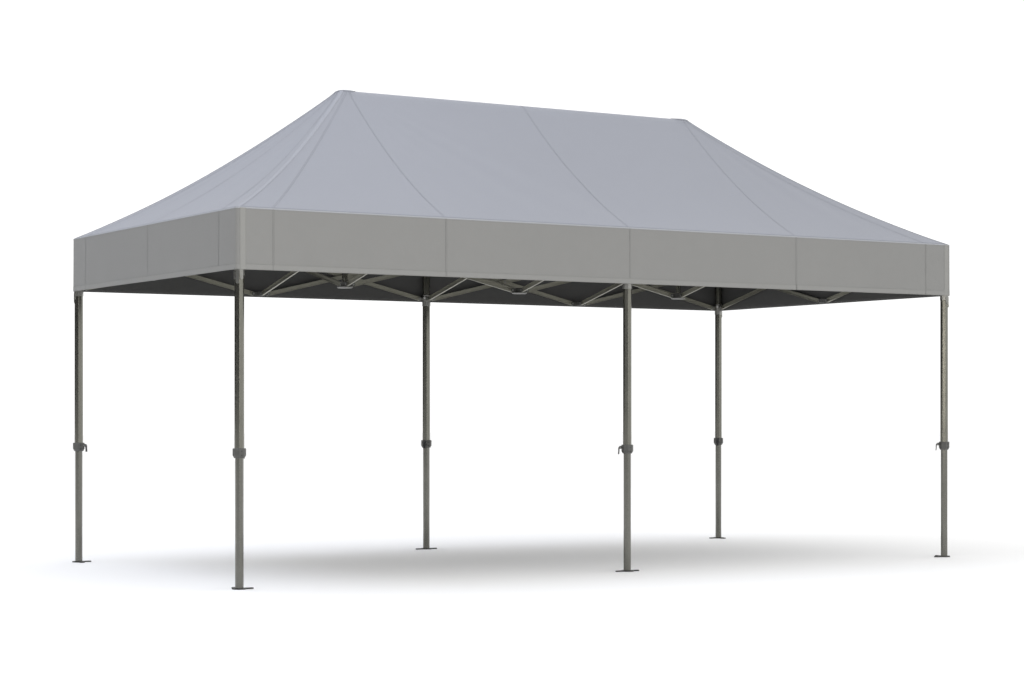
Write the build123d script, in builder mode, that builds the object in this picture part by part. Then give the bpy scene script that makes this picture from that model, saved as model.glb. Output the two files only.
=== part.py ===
"""A folding tent, three metres by six: six telescopic legs, scissor trusses, two masts and a canopy.

Millimetres. +Z is up, +X runs along the long side, and the origin is on the ground under the tent's middle.
The frame stands open and locked. Legs are named by side and place: front is -Y, left is -X.
"""

import os
from math import atan2, cos, degrees, hypot, radians, sin, sqrt

from build123d import *

# Driving dimensions
node_pitch = 1475.0  # from one truss node to the next, the same along X and Y
cells_long = 4  # truss cells on a long side
cells_short = 2  # truss cells on a short side
lower_pivot_height = 2045.0  # sets the height of the whole upper frame and of the canopy
truss_depth = 320.0  # from the lower to the upper pivots

leg_flats = 57.0  # outer leg, an octagonal tube, across its flats
leg_wall = 2.0
leg_bottom = 845.0  # sets the height of the clamps
leg_above_pivot = 20.0
leg_corner_radius = 2.5
inner_leg_wall = 1.8
leg_overlap = 401.0  # of the inner leg inside the outer one

foot_thickness = 8.0
foot_margin = 44.0  # from the leg's axis to the plate's edge, away from its ears
foot_ear_reach = 80.0  # from the leg's axis to the middle of an ear's peg hole
foot_ear_radius = 17.0
peg_hole_radius = 7.0
foot_plug_height = 60.0
foot_plug_chamfer = 2.0

clamp_wall = 10.5
clamp_height = 62.0
clamp_drop = 16.0  # how far the clamp reaches below the outer leg
clamp_lip = 3.0  # under the bush
clamp_taper = 9.0  # taken off the flats at the bottom
clamp_taper_height = 18.0
clamp_chamfer = 3.0
clamp_ear_radius = 10.0
clamp_ear_wall = 5.0
lever_pivot_rise = 27.0  # above the outer leg's end
lever_pivot_margin = 9.0  # outside the clamp's flat
lever_width = 19.0
lever_eye_radius = 6.5
lever_thickness = 7.0
lever_reach = 15.0  # from the pivot to the handle's outer face
lever_length = 48.0
lever_hook = 3.0
lever_lean = 1.0  # outwards, from the elbow to the hook
lever_pin_radius = 3.0

pivot_reach = 60.0  # from a node's axis to the bars' end pivots
bar_height = 32.0
bar_width = 15.0
bar_web = 4.0
bar_flange = 4.0
bar_boss = 46.0  # solid length left at each hole
bar_gap = 2.0  # between the two bars of a scissor, filled by a washer
washer_radius = 12.0
rivet_radius = 4.0
rivet_head_radius = 7.0
rivet_head_height = 3.0
cheek_thickness = 4.0
cheek_radius = 14.0  # of a clevis's rounded end

bracket_wall = 2.6  # of the heads and sliders, around the leg
bracket_inset = 7.0  # how far a clevis starts inside the bracket's flat
slider_above = 30.0  # the slider's top, above its pivots
slider_below = 60.0
head_skirt = 20.0  # the head's lower edge, below its pivots
tongue_width = 22.0
tongue_thickness = 3.4  # outside the slider's flat
tongue_length = 82.0  # on the outer corner
side_tongue_length = 55.0
tongue_drop = 33.0  # its upper end, below the pivots
tongue_knob_radius = 5.5
tongue_knob_height = 3.0
lock_rise = 8.0  # the lock pin's axis, above the pivots
lock_boss_radius = 10.0
lock_boss_length = 17.5
lock_plate_height = 40.0
lock_plate_depth = 4.0
lock_pin_radius = 4.0
lock_knob_radius = 9.0
lock_knob_length = 8.0
lock_knob_fillet = 1.5
lock_tip_depth = 1.6  # how far the pin's tip stands inside the leg's wall

hub_margin = 3.7  # outside the clevises' cheeks
hub_half_height = 18.0
hub_wall_at_mast = 9.0
disc_radius = 56.0
disc_thickness = 8.0
disc_chamfer = 3.0
disc_bolt_radius = 6.0

mast_radius = 20.0
mast_wall = 2.0
mast_above_pivots = 535.0  # the mast tube's top, above the upper pivots
mast_overlap = 340.0  # of the rod inside the tube
mast_rod_wall = 2.0
mast_cap_radius = 60.0
mast_cap_flat = 30.0
spring_wire = 2.0  # the wire's radius
spring_pitch = 16.0
spring_side_gap = 1.0

eave_above_pivots = 47.0
valance_height = 392.0
valance_thickness = 2.0
roof_thickness = 1.5
roof_slope = 0.485  # at the eave, rising to the ridge with roof_sag
roof_sag = 0.000152  # added slope per millimetre, halved
ridge_flat = 50.0  # half the width of the flat along the ridge
roof_rings = 5

# Clearances
fit_gap = 0.2  # round a leg inside its brackets
slide_gap = 0.3  # between parts that slide
glide_gap = 1.8  # between the two legs, taken up by the bush
lip_gap = 1.3  # round the inner leg at the clamp's lip
rivet_gap = 0.15
cheek_gap = 0.3  # each side of a bar in its clevis
pin_gap = 0.1
knob_gap = 1.0  # behind the lock pin's knob
valance_gap = 1.7  # between the legs' brackets and the valance
seat_gap = 0.3  # under the fabric, and at the springs' ends
lever_slot_depth = 2.0  # cut into the clamp's flat behind the lever
node_reach = 1.0  # two places nearer than this are one node

# Worked out
half_long = node_pitch * cells_long / 2
half_short = node_pitch * cells_short / 2
upper_pivot_height = lower_pivot_height + truss_depth
truss_middle = lower_pivot_height + truss_depth / 2
bar_run = node_pitch - 2 * pivot_reach
bar_span = hypot(bar_run, truss_depth)
bar_angle = degrees(atan2(truss_depth, bar_run))
bar_offset = (bar_width + bar_gap) / 2
cheek_inner = bar_width / 2 + cheek_gap
cheek_outer = cheek_inner + cheek_thickness

leg_top = upper_pivot_height + leg_above_pivot
inner_leg_flats = leg_flats - 2 * (leg_wall + glide_gap)
inner_leg_top = leg_bottom + leg_overlap
bracket_flats = leg_flats + 2 * (fit_gap + bracket_wall)
clamp_flats = leg_flats + 2 * (fit_gap + clamp_wall)
clamp_bottom = leg_bottom - clamp_drop
bush_bottom = clamp_bottom + clamp_lip
lever_pivot_reach = clamp_flats / 2 + lever_pivot_margin
lever_pivot_height = leg_bottom + lever_pivot_rise
lock_height = lower_pivot_height + lock_rise
lock_boss_reach = bracket_flats / 2 + lock_boss_length

mast_x = half_long - half_short
mast_bottom = lower_pivot_height - hub_half_height
mast_top = upper_pivot_height + mast_above_pivots
mast_rod_bottom = mast_top - mast_overlap
mast_hub_radius = mast_radius + hub_wall_at_mast
hub_half_width = bar_offset + cheek_outer
hub_radius = hub_half_width + hub_margin
rod_radius = mast_radius - mast_wall - slide_gap

eave_height = upper_pivot_height + eave_above_pivots
canopy_clearance = bracket_flats / 2 + valance_gap  # from a leg's axis to the inside of the valance
canopy_long = half_long + canopy_clearance + valance_thickness
canopy_short = half_short + canopy_clearance + valance_thickness
ridge_inset = canopy_short - ridge_flat

CORNERS = {
    "front_left": (-half_long, -half_short, 45),
    "front_right": (half_long, -half_short, 135),
    "back_left": (-half_long, half_short, -45),
    "back_right": (half_long, half_short, -135),
}
MIDDLES = {"front_middle": (0.0, -half_short, 135), "back_middle": (0.0, half_short, -135)}
LEGS = CORNERS | MIDDLES  # name: x, y and the bearing of its lever and lock pin, in degrees


def octagon(across_flats):
    """A regular octagon with flats facing the axes, drawn in the current sketch."""
    return RegularPolygon(across_flats / 2, 8, major_radius=False, rotation=22.5)


def save(label, *solids):
    """Writes one node: one solid, or several that stay separate."""
    whole = solids[0] if len(solids) == 1 else Compound(children=list(solids))
    whole.label = label
    export_step(whole, f"parts/{label}.step")


def place(solid, x, y, bearing=0.0):
    """A copy of a solid, turned about Z by bearing and moved to x, y."""
    return solid.moved(Location((x, y, 0), (0, 0, bearing)))


def roof_height(inset):
    """The canopy's top surface, at a distance inwards from its edge."""
    return eave_height + roof_slope * inset + roof_sag * inset**2


def bearings_of(x, y):
    """The directions in which trusses leave the node at x, y."""
    tips = [(x + node_pitch * cos(radians(b)), y + node_pitch * sin(radians(b))) for b in (0, 90, 180, 270)]
    found = []
    for bearing, (tx, ty) in zip((0, 90, 180, 270), tips):
        inside = abs(tx) < half_long + node_reach and abs(ty) < half_short + node_reach
        along_edge = min(abs(y), abs(ty)) > half_short - node_reach
        across = bearing in (90, 270)
        along_middle = abs(y) < node_reach and max(abs(x), abs(tx)) < half_long - node_reach
        if inside and (along_edge or across or along_middle):
            found.append(bearing)
    return found


# Legs
def octagonal_tube(flats, wall, bottom, top):
    """A leg's extrusion, with rounded arrises."""
    with BuildPart() as tube:
        with BuildSketch(Plane.XY.offset(bottom)) as outline:
            octagon(flats)
            fillet(outline.vertices(), leg_corner_radius)
        extrude(amount=top - bottom)
        with BuildSketch(Plane.XY.offset(bottom)):
            octagon(flats - 2 * wall)
        extrude(amount=top - bottom, mode=Mode.SUBTRACT)
    return tube.part


with BuildPart() as upper_leg:
    add(octagonal_tube(leg_flats, leg_wall, leg_bottom, leg_top))
    with BuildSketch(Plane.YZ):
        with Locations((0, lock_height)):
            Circle(lock_pin_radius + pin_gap)
    extrude(amount=leg_flats, mode=Mode.SUBTRACT)

lower_leg = octagonal_tube(inner_leg_flats, inner_leg_wall, foot_thickness, inner_leg_top)


def foot(ear_bearings):
    """A foot plate, with an ear and a peg hole in each given direction, and the plug in the leg's end."""
    with BuildPart() as made:
        with BuildSketch():
            octagon(2 * foot_margin)
            for bearing in ear_bearings:
                with Locations(Location((0, 0), bearing)):
                    with Locations((foot_ear_reach / 2, 0)):
                        Rectangle(foot_ear_reach, 2 * foot_ear_radius)
                    with Locations((foot_ear_reach, 0)):
                        Circle(foot_ear_radius)
        extrude(amount=foot_thickness)
        with BuildSketch():
            for bearing in ear_bearings:
                with Locations(Location((0, 0), bearing)):
                    with Locations((foot_ear_reach, 0)):
                        Circle(peg_hole_radius)
        extrude(amount=foot_thickness, mode=Mode.SUBTRACT)
        with BuildSketch(Plane.XY.offset(foot_thickness)):
            octagon(inner_leg_flats - 2 * inner_leg_wall - 2 * fit_gap)
        extrude(amount=foot_plug_height - foot_thickness)
        chamfer(made.faces().sort_by(Axis.Z)[-1].edges(), foot_plug_chamfer)
    return made.part


# Height clamps
clamp_cheek = lever_width / 2 + slide_gap

with BuildPart() as clamp:  # its ears point along +X
    with BuildSketch(Plane.XY.offset(clamp_bottom)):
        octagon(clamp_flats - 2 * clamp_taper)
    with BuildSketch(Plane.XY.offset(clamp_bottom + clamp_taper_height)):
        octagon(clamp_flats)
    loft()
    with BuildSketch(Plane.XY.offset(clamp_bottom + clamp_taper_height)):
        octagon(clamp_flats)
    extrude(amount=clamp_height - clamp_taper_height)
    chamfer(clamp.faces().sort_by(Axis.Z)[-1].edges(), clamp_chamfer)
    with BuildSketch(Plane.XZ):
        with Locations((lever_pivot_reach, lever_pivot_height)):
            Circle(clamp_ear_radius)
            ear_start = lever_pivot_reach - leg_flats / 2
            Rectangle(ear_start, 2 * clamp_ear_radius, align=(Align.MAX, Align.CENTER))
    extrude(amount=clamp_cheek + clamp_ear_wall, both=True)
    with BuildSketch(Plane.XZ):
        with Locations((clamp_flats / 2 - lever_slot_depth, lever_pivot_height)):
            Rectangle(lever_reach + clamp_flats, 2 * clamp_height, align=(Align.MIN, Align.CENTER))
    extrude(amount=clamp_cheek, both=True, mode=Mode.SUBTRACT)
    with BuildSketch(Plane.XZ):
        with Locations((lever_pivot_reach, lever_pivot_height)):
            Circle(lever_pin_radius + pin_gap)
    extrude(amount=clamp_flats, both=True, mode=Mode.SUBTRACT)
    with BuildSketch(Plane.XY.offset(bush_bottom)):
        octagon(leg_flats + 2 * fit_gap)
    extrude(amount=clamp_height, mode=Mode.SUBTRACT)
    with BuildSketch(Plane.XY.offset(clamp_bottom)):
        octagon(inner_leg_flats + 2 * lip_gap)
    extrude(amount=clamp_height, mode=Mode.SUBTRACT)

with BuildPart() as clamp_bush:
    with BuildSketch(Plane.XY.offset(bush_bottom)):
        octagon(leg_flats)
    extrude(amount=leg_bottom - bush_bottom)
    with BuildSketch(Plane.XY.offset(bush_bottom)):
        octagon(inner_leg_flats + 2 * slide_gap)
    extrude(amount=leg_bottom - bush_bottom, mode=Mode.SUBTRACT)

with BuildPart() as lever:  # a cam with a hooked handle, hanging beside the clamp
    with BuildSketch(Plane.XZ):
        with Locations((lever_pivot_reach, lever_pivot_height)):
            Circle(lever_eye_radius)
            Polygon(
                (0, lever_eye_radius),
                (lever_reach / 2, lever_thickness),
                (lever_reach, -lever_thickness / 2),
                (lever_reach + lever_lean, lever_thickness - lever_length),
                (lever_reach + lever_hook, -lever_length),
                (lever_reach + lever_hook - lever_thickness, -lever_length),
                (lever_reach - lever_thickness, -lever_eye_radius),
                (0, -lever_eye_radius),
                align=None,
            )
    extrude(amount=lever_width / 2, both=True)
    with BuildSketch(Plane.XZ):
        with Locations((lever_pivot_reach, lever_pivot_height)):
            Circle(lever_pin_radius + pin_gap)
    extrude(amount=lever_width, both=True, mode=Mode.SUBTRACT)

with BuildPart() as lever_pin:
    with BuildSketch(Plane.XZ):
        with Locations((lever_pivot_reach, lever_pivot_height)):
            Circle(lever_pin_radius)
    extrude(amount=clamp_cheek + clamp_ear_wall, both=True)


# Brackets: heads, sliders and hubs
def clevis(start, lateral, middle):
    """A clevis along +X: two cheeks with a hole, from start to past the pivot, set sideways by lateral."""
    with BuildPart() as made:
        for side in (-1, 1):
            inner = lateral + side * (cheek_inner + cheek_thickness / 2)
            with BuildSketch(Plane.XZ.offset(-inner)):
                with Locations((pivot_reach, middle)):
                    Rectangle(pivot_reach - start, 2 * cheek_radius, align=(Align.MAX, Align.CENTER))
                    Circle(cheek_radius)
                    Circle(rivet_radius + rivet_gap, mode=Mode.SUBTRACT)
            extrude(amount=cheek_thickness / 2, both=True)
    return made.part


def add_clevises(bearings, start, lateral, middle):
    """Adds a clevis in each direction to the part being built."""
    for bearing in bearings:
        with Locations(Location((0, 0, 0), (0, 0, bearing))):
            add(clevis(start, lateral, middle))


def add_tongue(face, length):
    """Adds a rounded tongue with a knob, on the bracket's face in the given direction."""
    reach = bracket_flats / 2 + tongue_thickness
    tongue_top = lower_pivot_height - tongue_drop
    knob_height = tongue_top - length + tongue_width / 2
    with Locations(Location((0, 0, knob_height), (0, 0, face))):
        Box(reach, tongue_width, tongue_top - knob_height, align=(Align.MIN, Align.CENTER, Align.MIN))
    with Locations(Location((0, 0, knob_height), (0, 0, face)) * Location((0, 0, 0), (0, 90, 0))):
        Cylinder(tongue_width / 2, reach, align=(Align.CENTER, Align.CENTER, Align.MIN))
        knob_reach = reach + tongue_knob_height
        Cylinder(tongue_knob_radius, knob_reach, align=(Align.CENTER, Align.CENTER, Align.MIN))


def slider(bearings, inward, tongues):
    """A sleeve that slides on the leg, with its lock boss on the inside and tongues on its outer faces."""
    boss = Location((0, 0, lock_height), (0, 0, inward))
    boss_axis = boss * Location((0, 0, 0), (0, 90, 0))
    with BuildPart() as made:
        with BuildSketch(Plane.XY.offset(lower_pivot_height - slider_below)):
            octagon(bracket_flats)
        extrude(amount=slider_above + slider_below)
        add_clevises(bearings, bracket_flats / 2 - bracket_inset, -bar_offset, lower_pivot_height)
        with Locations(boss):
            plate_reach = bracket_flats / 2 + lock_plate_depth
            plate_align = (Align.MIN, Align.CENTER, Align.CENTER)
            Box(plate_reach, 2 * lock_boss_radius, lock_plate_height, align=plate_align)
        with Locations(boss_axis):
            Cylinder(lock_boss_radius, lock_boss_reach, align=(Align.CENTER, Align.CENTER, Align.MIN))
        for face, length in tongues:
            add_tongue(face, length)
        with BuildSketch(Plane.XY.offset(lower_pivot_height + slider_above)):
            octagon(leg_flats + 2 * fit_gap)
        extrude(amount=-(slider_above + tongue_drop + tongue_length), mode=Mode.SUBTRACT)
        with Locations(boss_axis):
            bore_align = (Align.CENTER, Align.CENTER, Align.MIN)
            Cylinder(lock_pin_radius + pin_gap, lock_boss_reach, align=bore_align, mode=Mode.SUBTRACT)
    return made.part


head_inset = canopy_clearance + valance_thickness - bracket_flats / 2
head_top = roof_height(head_inset) - roof_thickness - seat_gap


def head(bearings):
    """The cap that closes the leg's top and carries the upper pivots."""
    with BuildPart() as made:
        bottom = upper_pivot_height - head_skirt
        with BuildSketch(Plane.XY.offset(bottom)):
            octagon(bracket_flats)
        extrude(amount=head_top - bottom)
        add_clevises(bearings, bracket_flats / 2 - bracket_inset, bar_offset, upper_pivot_height)
        with BuildSketch(Plane.XY.offset(bottom)):
            octagon(leg_flats + 2 * fit_gap)
        extrude(amount=leg_top - bottom, mode=Mode.SUBTRACT)
    return made.part


with BuildPart() as lock_pin:  # pulled out along +X against its spring
    tip = leg_flats / 2 - leg_wall - lock_tip_depth
    knob_start = lock_boss_reach + knob_gap
    with Locations(Location((tip, 0, lock_height), (0, 90, 0))):
        shaft_length = knob_start + lock_knob_length - tip
        Cylinder(lock_pin_radius, shaft_length, align=(Align.CENTER, Align.CENTER, Align.MIN))
    with Locations(Location((knob_start, 0, lock_height), (0, 90, 0))):
        Cylinder(lock_knob_radius, lock_knob_length, align=(Align.CENTER, Align.CENTER, Align.MIN))
    fillet(lock_pin.edges().filter_by(GeomType.CIRCLE).group_by(SortBy.RADIUS)[-1], lock_knob_fillet)


def hub(bearings, middle, lateral, bore, radius, top):
    """A node's casting: a round body with a clevis in each direction."""
    with BuildPart() as made:
        with BuildSketch(Plane.XY.offset(middle - hub_half_height)):
            Circle(radius)
        extrude(amount=top - middle + hub_half_height)
        add_clevises(bearings, sqrt(radius**2 - hub_half_width**2), lateral, middle)
        with BuildSketch(Plane.XY.offset(middle - hub_half_height)):
            Circle(bore)
        extrude(amount=top - middle + hub_half_height, mode=Mode.SUBTRACT)
    return made.part


# Bars and rivets
with BuildPart() as bar:  # along X, with a pocket each side between the bosses, like an I-beam
    with BuildSketch(Plane.XZ):
        SlotCenterToCenter(bar_span, bar_height)
    extrude(amount=bar_width / 2, both=True)
    pocket = bar_span / 2 - bar_boss
    for side in (-1, 1):
        with BuildSketch(Plane.XZ.offset(side * bar_width / 2)):
            with Locations((-bar_span / 4, 0), (bar_span / 4, 0)):
                Rectangle(pocket, bar_height - 2 * bar_flange)
        extrude(amount=-side * (bar_width - bar_web) / 2, mode=Mode.SUBTRACT)
    with BuildSketch(Plane.XZ):
        with Locations((-bar_span / 2, 0), (0, 0), (bar_span / 2, 0)):
            Circle(rivet_radius + rivet_gap)
    extrude(amount=bar_width, both=True, mode=Mode.SUBTRACT)


def rivet(length):
    """A rivet along Y, centred on the origin, headed at both ends."""
    with BuildPart() as made:
        with Locations(Location((0, 0, 0), (90, 0, 0))):
            Cylinder(rivet_radius, length)
        for side in (-1, 1):
            with Locations(Location((0, side * (length + rivet_head_height) / 2, 0), (90, 0, 0))):
                Cylinder(rivet_head_radius, rivet_head_height)
    return made.part


with BuildPart() as washer:
    with Locations(Location((0, 0, 0), (90, 0, 0))):
        Cylinder(washer_radius, bar_gap - 2 * pin_gap)
        Cylinder(rivet_radius + rivet_gap, bar_gap, mode=Mode.SUBTRACT)


def truss(x0, y0, bearing, cells):
    """The bars of a line of scissors that starts at x0, y0 and runs along bearing."""
    dx, dy = cos(radians(bearing)), sin(radians(bearing))
    made = []
    for cell in range(cells):
        reach = node_pitch * (cell + 0.5)
        for rising in (-1, 1):
            lean = Location((0, rising * bar_offset, 0), (0, rising * bar_angle, 0))
            at = Location((x0 + reach * dx, y0 + reach * dy, truss_middle), (0, 0, bearing))
            made.append(bar.part.moved(at * lean))
    return made


TRUSSES = {  # name: start x, start y, bearing, cells
    "front_truss_bars": (-half_long, -half_short, 0, cells_long),
    "back_truss_bars": (-half_long, half_short, 0, cells_long),
    "left_truss_bars": (-half_long, -half_short, 90, cells_short),
    "right_truss_bars": (half_long, -half_short, 90, cells_short),
    "left_cross_truss_bars": (-mast_x, -half_short, 90, cells_short),
    "middle_cross_truss_bars": (0.0, -half_short, 90, cells_short),
    "right_cross_truss_bars": (mast_x, -half_short, 90, cells_short),
    "centre_truss_bars": (-mast_x, 0.0, 0, cells_long - 2),
}

# Masts
ridge_seat = roof_height(ridge_inset) - roof_thickness - seat_gap
cap_height = mast_cap_radius - mast_cap_flat

with BuildPart() as mast_tube:
    with BuildSketch(Plane.XY.offset(mast_bottom)):
        Circle(mast_radius)
        Circle(mast_radius - mast_wall, mode=Mode.SUBTRACT)
    extrude(amount=mast_top - mast_bottom)

with BuildPart() as mast_rod:
    with BuildSketch(Plane.XY.offset(mast_rod_bottom)):
        Circle(rod_radius)
        Circle(rod_radius - mast_rod_wall, mode=Mode.SUBTRACT)
    extrude(amount=ridge_seat - cap_height - mast_rod_bottom)

with BuildPart() as mast_cap:  # a cone with a flat top, so that the fabric isn't cut by an edge
    with BuildSketch(Plane.XY.offset(ridge_seat - cap_height)):
        Circle(mast_cap_radius)
    with BuildSketch(Plane.XY.offset(ridge_seat)):
        Circle(mast_cap_flat)
    loft()

with BuildPart() as mast_spring:  # stands on the hub's disc and carries the rod
    spring_start = mast_bottom + spring_wire + seat_gap
    spring_end = mast_rod_bottom - spring_wire - seat_gap
    spring_radius = mast_radius - mast_wall - spring_side_gap - spring_wire
    with BuildLine():
        coil = Helix(spring_pitch, spring_end - spring_start, spring_radius, center=(0, 0, spring_start))
    with BuildSketch(Plane(origin=coil @ 0, z_dir=coil % 0)):
        Circle(spring_wire)
    sweep(path=coil)


# Canopy
def roof_slab(low, high, along, across):
    """One flat strip of the front slope, between two insets; along and across are the eave's half sizes."""
    with BuildPart() as made:
        with BuildSketch(Plane.YZ):
            Polygon(
                (-(across - low), roof_height(low)),
                (-(across - high), roof_height(high)),
                (-(across - high), roof_height(high) - roof_thickness),
                (-(across - low), roof_height(low) - roof_thickness),
                align=None,
            )
        extrude(amount=along, both=True)
        with BuildSketch():
            Polygon(
                (-(along - low), -(across - low)),
                (along - low, -(across - low)),
                (along - high, -(across - high)),
                (-(along - high), -(across - high)),
                align=None,
            )
        extrude(amount=2 * eave_height, mode=Mode.INTERSECT)
    return made.part


def roof():
    """The strips of all four slopes, and the flat along the ridge."""
    insets = [ridge_inset * ring / roof_rings for ring in range(roof_rings + 1)]
    made = []
    for low, high in zip(insets, insets[1:]):
        long_slope = roof_slab(low, high, canopy_long, canopy_short)
        end_slope = roof_slab(low, high, canopy_short, canopy_long)
        made += [place(long_slope, 0, 0, bearing) for bearing in (0, 180)]
        made += [place(end_slope, 0, 0, bearing) for bearing in (90, 270)]
    with BuildPart() as ridge:
        with BuildSketch(Plane.XY.offset(roof_height(ridge_inset) - roof_thickness)):
            Rectangle(2 * (canopy_long - ridge_inset), 2 * ridge_flat)
        extrude(amount=roof_thickness)
    return made + [ridge.part]


def valance():
    """The four hanging strips below the eave."""
    bottom = eave_height - valance_height
    top = eave_height - roof_thickness
    made = []
    for along, across, bearings in (
        (canopy_long, canopy_short, (0, 180)),
        (canopy_short - valance_thickness, canopy_long, (90, 270)),
    ):
        with BuildPart() as strip:
            with BuildSketch(Plane.XY.offset(bottom)):
                with Locations((0, -across + valance_thickness / 2)):
                    Rectangle(2 * along, valance_thickness)
            extrude(amount=top - bottom)
        made += [place(strip.part, 0, 0, bearing) for bearing in bearings]
    return made


# Writing the nodes
os.makedirs("parts", exist_ok=True)

for name, (x, y, inward) in LEGS.items():
    save(f"upper_leg_{name}", place(upper_leg.part, x, y, inward))
    save(f"lower_leg_{name}", place(lower_leg, x, y))
    ears = (0, 180) if name in MIDDLES else (inward - 45, inward + 45)
    save(f"foot_{name}", place(foot(ears), x, y))
    save(f"clamp_lever_{name}", place(lever.part, x, y, inward))
    save(f"lock_pin_{name}", place(lock_pin.part, x, y, inward))

save("leg_clamps", *[place(clamp.part, x, y, inward) for x, y, inward in LEGS.values()])
save("clamp_bushes", *[place(clamp_bush.part, x, y) for x, y, _ in LEGS.values()])
save("lever_pins", *[place(lever_pin.part, x, y, inward) for x, y, inward in LEGS.values()])

sliders = []
for x, y, inward in CORNERS.values():
    tongues = (
        (inward + 135, side_tongue_length),
        (inward + 180, tongue_length),
        (inward - 135, side_tongue_length),
    )
    sliders.append(place(slider(bearings_of(x, y), inward, tongues), x, y))
save("corner_sliders", *sliders)
sliders = [place(slider(bearings_of(x, y), inward, ()), x, y) for x, y, inward in MIDDLES.values()]
save("middle_sliders", *sliders)
save("corner_heads", *[place(head(bearings_of(x, y)), x, y) for x, y, _ in CORNERS.values()])
save("middle_heads", *[place(head(bearings_of(x, y)), x, y) for x, y, _ in MIDDLES.values()])

for name, (x, y, bearing, cells) in TRUSSES.items():
    save(name, *truss(x, y, bearing, cells))

nodes = [
    (x * node_pitch - half_long, y * node_pitch - half_short)
    for x in range(cells_long + 1)
    for y in range(cells_short + 1)
]
leg_places = {(x, y) for x, y, _ in LEGS.values()}
mast_places = [(-mast_x, 0.0), (mast_x, 0.0)]
upper_hubs, lower_hubs, discs, end_rivets = [], [], [], []
for x, y in nodes:
    bearings = bearings_of(x, y)
    if (x, y) not in leg_places:
        on_mast = (x, y) in mast_places
        radius = mast_hub_radius if on_mast else hub_radius
        bore = mast_radius + slide_gap if on_mast else disc_bolt_radius
        low_bore = mast_radius + fit_gap if on_mast else disc_bolt_radius
        edge = max(abs(x) - half_long, abs(y) - half_short) > -node_reach
        top = head_top if edge else upper_pivot_height + hub_half_height
        upper_hubs.append(place(hub(bearings, upper_pivot_height, bar_offset, bore, radius, top), x, y))
        low_top = lower_pivot_height + hub_half_height
        low_hub = hub(bearings, lower_pivot_height, -bar_offset, low_bore, radius, low_top)
        lower_hubs.append(place(low_hub, x, y))
        if not edge:
            with BuildPart() as disc:
                with BuildSketch(Plane.XY.offset(mast_bottom - disc_thickness)):
                    Circle(disc_radius)
                extrude(amount=disc_thickness)
                chamfer(disc.edges().sort_by(Axis.Z)[0], disc_chamfer)
            discs.append(place(disc.part, x, y))
    for height, lateral in ((lower_pivot_height, -bar_offset), (upper_pivot_height, bar_offset)):
        for bearing in bearings:
            at = Location((x, y, height), (0, 0, bearing)) * Location((pivot_reach, lateral, 0))
            end_rivets.append(rivet(2 * cheek_outer).moved(at))

save("upper_hubs", *upper_hubs)
save("lower_hubs", *lower_hubs)
save("hub_discs", *discs)
save("end_rivets", *end_rivets)

middle_rivets, washers = [], []
for x, y, bearing, cells in TRUSSES.values():
    dx, dy = cos(radians(bearing)), sin(radians(bearing))
    for cell in range(cells):
        reach = node_pitch * (cell + 0.5)
        at = Location((x + reach * dx, y + reach * dy, truss_middle), (0, 0, bearing))
        middle_rivets.append(rivet(2 * bar_width + bar_gap).moved(at))
        washers.append(washer.part.moved(at))
save("middle_rivets", *middle_rivets)
save("spacer_washers", *washers)

save("mast_tubes", *[place(mast_tube.part, x, y) for x, y in mast_places])
for name, (x, y) in zip(("left", "right"), mast_places):
    save(f"mast_rod_{name}", place(mast_rod.part, x, y))
    save(f"mast_cap_{name}", place(mast_cap.part, x, y))
    save(f"mast_spring_{name}", place(mast_spring.part, x, y))

save("canopy_roof", *roof())
save("canopy_valance", *valance())
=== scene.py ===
import math

import bmesh
import bpy
import numpy as np
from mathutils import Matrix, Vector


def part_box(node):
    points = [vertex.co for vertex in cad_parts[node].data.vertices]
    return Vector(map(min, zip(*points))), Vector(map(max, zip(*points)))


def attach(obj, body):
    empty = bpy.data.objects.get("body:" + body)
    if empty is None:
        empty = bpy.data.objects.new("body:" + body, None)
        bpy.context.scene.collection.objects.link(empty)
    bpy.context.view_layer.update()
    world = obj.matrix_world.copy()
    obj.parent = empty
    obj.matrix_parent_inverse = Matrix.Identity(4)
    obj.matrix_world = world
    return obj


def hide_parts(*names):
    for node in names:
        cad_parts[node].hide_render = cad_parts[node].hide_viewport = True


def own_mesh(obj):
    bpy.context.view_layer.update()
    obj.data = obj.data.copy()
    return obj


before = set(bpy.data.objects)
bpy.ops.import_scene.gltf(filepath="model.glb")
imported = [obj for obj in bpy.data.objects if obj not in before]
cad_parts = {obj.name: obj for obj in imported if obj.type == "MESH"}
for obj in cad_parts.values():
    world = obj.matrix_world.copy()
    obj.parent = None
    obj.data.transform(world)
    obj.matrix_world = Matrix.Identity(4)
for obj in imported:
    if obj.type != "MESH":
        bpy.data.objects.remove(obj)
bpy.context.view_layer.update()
scene = bpy.context.scene
print("stage 1: frame loaded,", len(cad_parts), "nodes")


# nodes for materials, kept short
def newMaterial(name):
    material = bpy.data.materials.new(name)
    material.use_nodes = True
    tree = material.node_tree
    tree.nodes.clear()
    output = tree.nodes.new("ShaderNodeOutputMaterial")
    shader = tree.nodes.new("ShaderNodeBsdfPrincipled")
    tree.links.new(shader.outputs[0], output.inputs[0])
    return material, tree, shader


def addNode(tree, kind, inputs=None, **settings):
    # a node with its sockets filled: a socket value is a constant or another node's output
    node = tree.nodes.new(kind)
    for key, value in settings.items():
        setattr(node, key, value)
    for key, value in (inputs or {}).items():
        if isinstance(value, bpy.types.NodeSocket):
            tree.links.new(value, node.inputs[key])
        else:
            node.inputs[key].default_value = value
    return node


def mathNode(tree, operation, first, second=0.0, third=0.0, clamp=False):
    values = {0: first, 1: second, 2: third}
    return addNode(tree, "ShaderNodeMath", values, operation=operation, use_clamp=clamp).outputs[0]


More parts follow.
